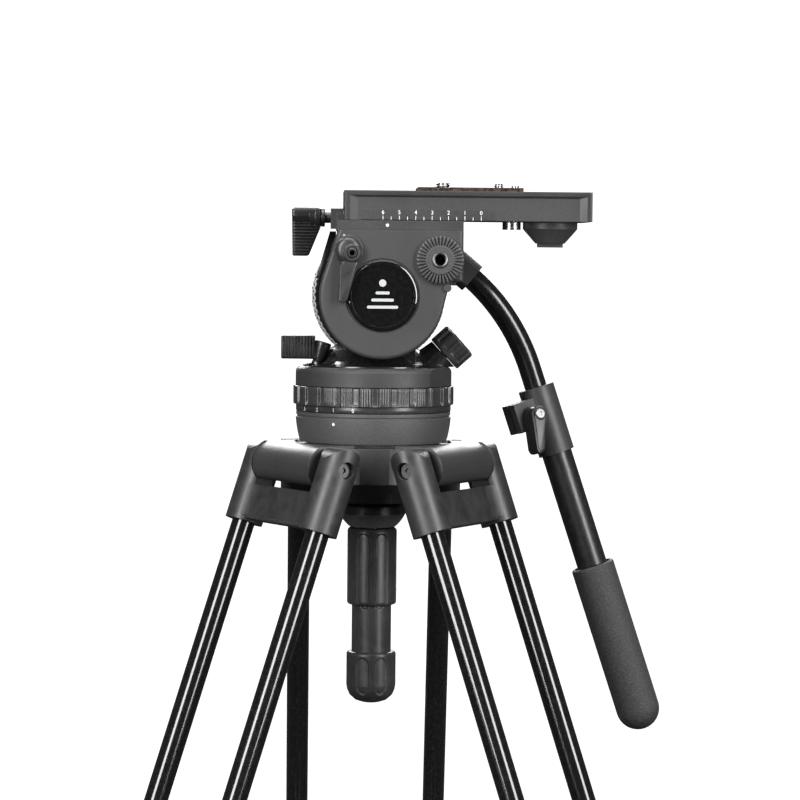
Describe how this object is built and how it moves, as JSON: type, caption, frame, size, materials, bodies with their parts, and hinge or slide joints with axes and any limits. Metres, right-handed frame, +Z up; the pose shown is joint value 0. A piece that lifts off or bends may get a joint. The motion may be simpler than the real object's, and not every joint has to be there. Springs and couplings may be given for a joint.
{
  "type": "video tripod with fluid head",
  "caption": "Video tripod with a bowl-mounted fluid head, sliding camera plate, side pan bar, twin-tube legs with an extending lower stage and a mid-level spreader.",
  "frame": {"origin": "point on the floor on the pan axis", "axes": "+Z up along the pan axis, +X towards the side where the pan bar hangs and the camera plate overhangs, +Y towards the rear leg"},
  "size_m": [0.6978, 0.608, 1.1317],
  "materials": {
    "powder_coat": "black fine speckled powder coat on cast aluminium",
    "yoke_nylon": "satin moulded",
    "gloss_tube": "gloss black finish on aluminium tube",
    "black_plastic": "satin",
    "black_paint": "black paint on cast aluminium",
    "gloss_badge": "gloss",
    "cast_metal": "satin cast",
    "dark_steel": "blackened",
    "steel": "bright",
    "rubber": "matt",
    "cork_rubber": "matt"
  },
  "bodies": {
    "crown": {"spider": "powder_coat", "hinge_bolts": "dark_steel"},
    "head_base": {"half_ball": "cast_metal", "bowl_stud": "steel", "clamp_ring": "black_plastic", "clamp_dish": "cast_metal", "base_collar": "powder_coat"},
    "bowl_knob": {"clamp_knob": "black_plastic", "clamp_knob_cap": "black_plastic"},
    "pan_drag": {"pan_drag_ring": "black_plastic"},
    "pan_block": {"pan_housing": "powder_coat", "pan_cradle": "black_paint"},
    "counterbalance": {"counterbalance_knob": "black_plastic"},
    "pan_lock": {"pan_lock_lever": "black_plastic"},
    "tilt_head": {"tilt_body": "powder_coat", "tilt_side_plate": "black_paint", "badge_disc": "gloss_badge", "rosettes": "powder_coat", "plate_clamp": "powder_coat"},
    "tilt_lock": {"tilt_lock_lever": "black_plastic"},
    "tilt_drag": {"tilt_drag_ring": "black_plastic"},
    "plate_lock": {"plate_lock_lever": "black_plastic"},
    "plate": {"camera_plate": "powder_coat", "plate_pad": "cork_rubber"},
    "screw_3_8": {"camera_screw_3_8": "steel"},
    "screw_1_4": {"camera_screw_1_4": "steel"},
    "pin": {"video_pin": "steel"},
    "plate_turn_knob": {"plate_knob": "black_plastic"},
    "pan_bar": {"pan_bar_clamp": "powder_coat", "pan_bar_inner": "gloss_tube"},
    "bar_screw": {"pan_bar_screw": "black_plastic"},
    "bar_extension": {"pan_bar_outer": "gloss_tube", "pan_bar_collar": "powder_coat", "pan_bar_grip": "rubber"},
    "bar_lever": {"collar_lever": "black_plastic"},
    "leg_1": {"yoke_1": "yoke_nylon", "upper_tubes_1": "gloss_tube", "casting_1": "yoke_nylon"},
    "leg_1_lower": {"lower_tube_1": "gloss_tube", "foot_1": "rubber"},
    "leg_1_lock": {"leg_lock_1": "black_plastic"},
    "arm_1": {"spreader_sleeve_1": "black_plastic"},
    "arm_1_rod": {"spreader_rod_1": "steel"},
    "leg_2": {"yoke_2": "yoke_nylon", "upper_tubes_2": "gloss_tube", "casting_2": "yoke_nylon"},
    "leg_2_lower": {"lower_tube_2": "gloss_tube", "foot_2": "rubber"},
    "leg_2_lock": {"leg_lock_2": "black_plastic"},
    "arm_2": {"spreader_sleeve_2": "black_plastic"},
    "arm_2_rod": {"spreader_rod_2": "steel"},
    "leg_3": {"yoke_3": "yoke_nylon", "upper_tubes_3": "gloss_tube", "casting_3": "yoke_nylon"},
    "leg_3_lower": {"lower_tube_3": "gloss_tube", "foot_3": "rubber"},
    "leg_3_lock": {"leg_lock_3": "black_plastic"},
    "arm_3": {"spreader_sleeve_3": "black_plastic"},
    "arm_3_rod": {"spreader_rod_3": "steel"},
    "spreader_hub": {"spreader_hub": "black_plastic"}
  },
  "joints": [
    {"name": "bowl_level", "type": "hinge", "parent": "crown", "child": "head_base", "pos_m": [0, 0, 0.97034], "axis": [0, 1, 0], "range_deg": [-1.8, 1.8]},
    {"name": "bowl_clamp_turn", "type": "hinge", "parent": "head_base", "child": "bowl_knob", "pos_m": [0, 0, 0.89194], "axis": [0, 0, 1], "range_deg": [-360, 0]},
    {"name": "pan_drag_turn", "type": "hinge", "parent": "head_base", "child": "pan_drag", "pos_m": [0, 0, 0.99694], "axis": [0, 0, 1], "range_deg": [-15.4, 30.8]},
    {"name": "pan_turn", "type": "hinge", "parent": "head_base", "child": "pan_block", "pos_m": [0, 0, 1.01194], "axis": [0, 0, 1], "continuous": true},
    {"name": "counterbalance_turn", "type": "hinge", "parent": "pan_block", "child": "counterbalance", "pos_m": [0.0437, 0, 1.02454], "axis": [0.7431, 0, 0.6691], "continuous": true},
    {"name": "pan_lock_turn", "type": "hinge", "parent": "pan_block", "child": "pan_lock", "pos_m": [-0.0364, -0.012, 1.01454], "axis": [0.28, 0, 0.96], "range_deg": [-35, 60]},
    {"name": "tilt_turn", "type": "hinge", "parent": "pan_block", "child": "tilt_head", "pos_m": [0.0035, 0, 1.06044], "axis": [0, 1, 0], "range_deg": [-60, 15]},
    {"name": "tilt_lock_turn", "type": "hinge", "parent": "tilt_head", "child": "tilt_lock", "pos_m": [-0.0148, -0.045, 1.08704], "axis": [0, 1, 0], "range_deg": [-60, 20]},
    {"name": "tilt_drag_turn", "type": "hinge", "parent": "tilt_head", "child": "tilt_drag", "pos_m": [0.0035, 0.037, 1.06044], "axis": [0, 1, 0], "continuous": true},
    {"name": "plate_lock_turn", "type": "hinge", "parent": "tilt_head", "child": "plate_lock", "pos_m": [-0.03, 0, 1.10894], "axis": [1, 0, 0], "range_deg": [-60, 60]},
    {"name": "plate_slide", "type": "slide", "parent": "tilt_head", "child": "plate", "axis": [1, 0, 0], "range_m": [-0.013, 0.03]},
    {"name": "screw_3_8_turn", "type": "hinge", "parent": "plate", "child": "screw_3_8", "pos_m": [0.042, 0, 1.11694], "axis": [0, 0, 1], "continuous": true},
    {"name": "screw_1_4_turn", "type": "hinge", "parent": "plate", "child": "screw_1_4", "pos_m": [0.0766, 0, 1.11694], "axis": [0, 0, 1], "continuous": true},
    {"name": "video_pin_press", "type": "slide", "parent": "plate", "child": "pin", "axis": [0, 0, -1], "range_m": [0, 0.004], "stiffness_N_per_m": 300, "springref_m": -0.002},
    {"name": "plate_knob_turn", "type": "hinge", "parent": "plate", "child": "plate_turn_knob", "pos_m": [0.109, 0, 1.10194], "axis": [0, 0, 1], "continuous": true},
    {"name": "pan_bar_swing", "type": "hinge", "parent": "tilt_head", "child": "pan_bar", "pos_m": [0.0387, 0.062, 1.08314], "axis": [0, 1, 0], "range_deg": [-99, 0]},
    {"name": "bar_screw_turn", "type": "hinge", "parent": "pan_bar", "child": "bar_screw", "pos_m": [0.0387, 0.072, 1.08314], "axis": [0, 1, 0], "continuous": true},
    {"name": "pan_bar_extend", "type": "slide", "parent": "pan_bar", "child": "bar_extension", "axis": [0.3135, 0, -0.9496], "range_m": [0, 0.1]},
    {"name": "bar_lever_turn", "type": "hinge", "parent": "bar_extension", "child": "bar_lever", "pos_m": [0.09813, 0.05425, 0.98315], "axis": [0.4748, -0.866, 0.1567], "range_deg": [-80, 0]},
    {"name": "leg_1_splay", "type": "hinge", "parent": "crown", "child": "leg_1", "pos_m": [0, 0.0529, 0.95664], "axis": [1, 0, 0], "range_deg": [-14, 0]},
    {"name": "leg_1_extend", "type": "slide", "parent": "leg_1", "child": "leg_1_lower", "axis": [0, 0.3338, -0.9426], "range_m": [-0.25, 0.19]},
    {"name": "leg_1_lock_turn", "type": "hinge", "parent": "leg_1", "child": "leg_1_lock", "pos_m": [0, 0.25868, 0.43544], "axis": [0, 0.9426, 0.3338], "range_deg": [0, 90]},
    {"name": "arm_1_swing", "type": "hinge", "parent": "leg_1", "child": "arm_1", "pos_m": [0, 0.20197, 0.45779], "axis": [1, 0, 0], "range_deg": [-34.51, 0]},
    {"name": "arm_1_slide", "type": "slide", "parent": "arm_1", "child": "arm_1_rod", "axis": [0, -0.9613, 0.2756], "range_m": [-0.07262, 0]},
    {"name": "leg_2_splay", "type": "hinge", "parent": "crown", "child": "leg_2", "pos_m": [-0.04581, -0.02645, 0.95664], "axis": [-0.5, 0.866, 0], "range_deg": [-14, 0]},
    {"name": "leg_2_extend", "type": "slide", "parent": "leg_2", "child": "leg_2_lower", "axis": [-0.2891, -0.1669, -0.9426], "range_m": [-0.25, 0.19]},
    {"name": "leg_2_lock_turn", "type": "hinge", "parent": "leg_2", "child": "leg_2_lock", "pos_m": [-0.22403, -0.12934, 0.43544], "axis": [-0.8164, -0.4713, 0.3338], "range_deg": [0, 90]},
    {"name": "arm_2_swing", "type": "hinge", "parent": "leg_2", "child": "arm_2", "pos_m": [-0.17491, -0.10099, 0.45779], "axis": [-0.5, 0.866, 0], "range_deg": [-34.51, 0]},
    {"name": "arm_2_slide", "type": "slide", "parent": "arm_2", "child": "arm_2_rod", "axis": [0.8325, 0.4806, 0.2756], "range_m": [-0.07262, 0]},
    {"name": "leg_3_splay", "type": "hinge", "parent": "crown", "child": "leg_3", "pos_m": [0.04581, -0.02645, 0.95664], "axis": [-0.5, -0.866, 0], "range_deg": [-14, 0]},
    {"name": "leg_3_extend", "type": "slide", "parent": "leg_3", "child": "leg_3_lower", "axis": [0.2891, -0.1669, -0.9426], "range_m": [-0.25, 0.19]},
    {"name": "leg_3_lock_turn", "type": "hinge", "parent": "leg_3", "child": "leg_3_lock", "pos_m": [0.22403, -0.12934, 0.43544], "axis": [0.8164, -0.4713, 0.3338], "range_deg": [0, 90]},
    {"name": "arm_3_swing", "type": "hinge", "parent": "leg_3", "child": "arm_3", "pos_m": [0.17491, -0.10099, 0.45779], "axis": [-0.5, -0.866, 0], "range_deg": [-34.51, 0]},
    {"name": "arm_3_slide", "type": "slide", "parent": "arm_3", "child": "arm_3_rod", "axis": [-0.8325, 0.4806, 0.2756], "range_m": [-0.07262, 0]},
    {"name": "hub_level", "type": "hinge", "parent": "arm_1_rod", "child": "spreader_hub", "pos_m": [0, 0.034, 0.50595], "axis": [1, 0, 0], "range_deg": [0, 48.51]}
  ],
  "couplings": [
    {"joint": "arm_1_swing", "follows": "leg_1_splay", "ratio": 2.4643},
    {"joint": "arm_1_slide", "follows": "leg_1_splay", "m_per_rad": 0.29678},
    {"joint": "leg_2_splay", "follows": "leg_1_splay", "ratio": 1},
    {"joint": "arm_2_swing", "follows": "leg_1_splay", "ratio": 2.4643},
    {"joint": "arm_2_slide", "follows": "leg_1_splay", "m_per_rad": 0.29678},
    {"joint": "leg_3_splay", "follows": "leg_1_splay", "ratio": 1},
    {"joint": "arm_3_swing", "follows": "leg_1_splay", "ratio": 2.4643},
    {"joint": "arm_3_slide", "follows": "leg_1_splay", "m_per_rad": 0.29678},
    {"joint": "hub_level", "follows": "leg_1_splay", "ratio": -3.4643}
  ]
}
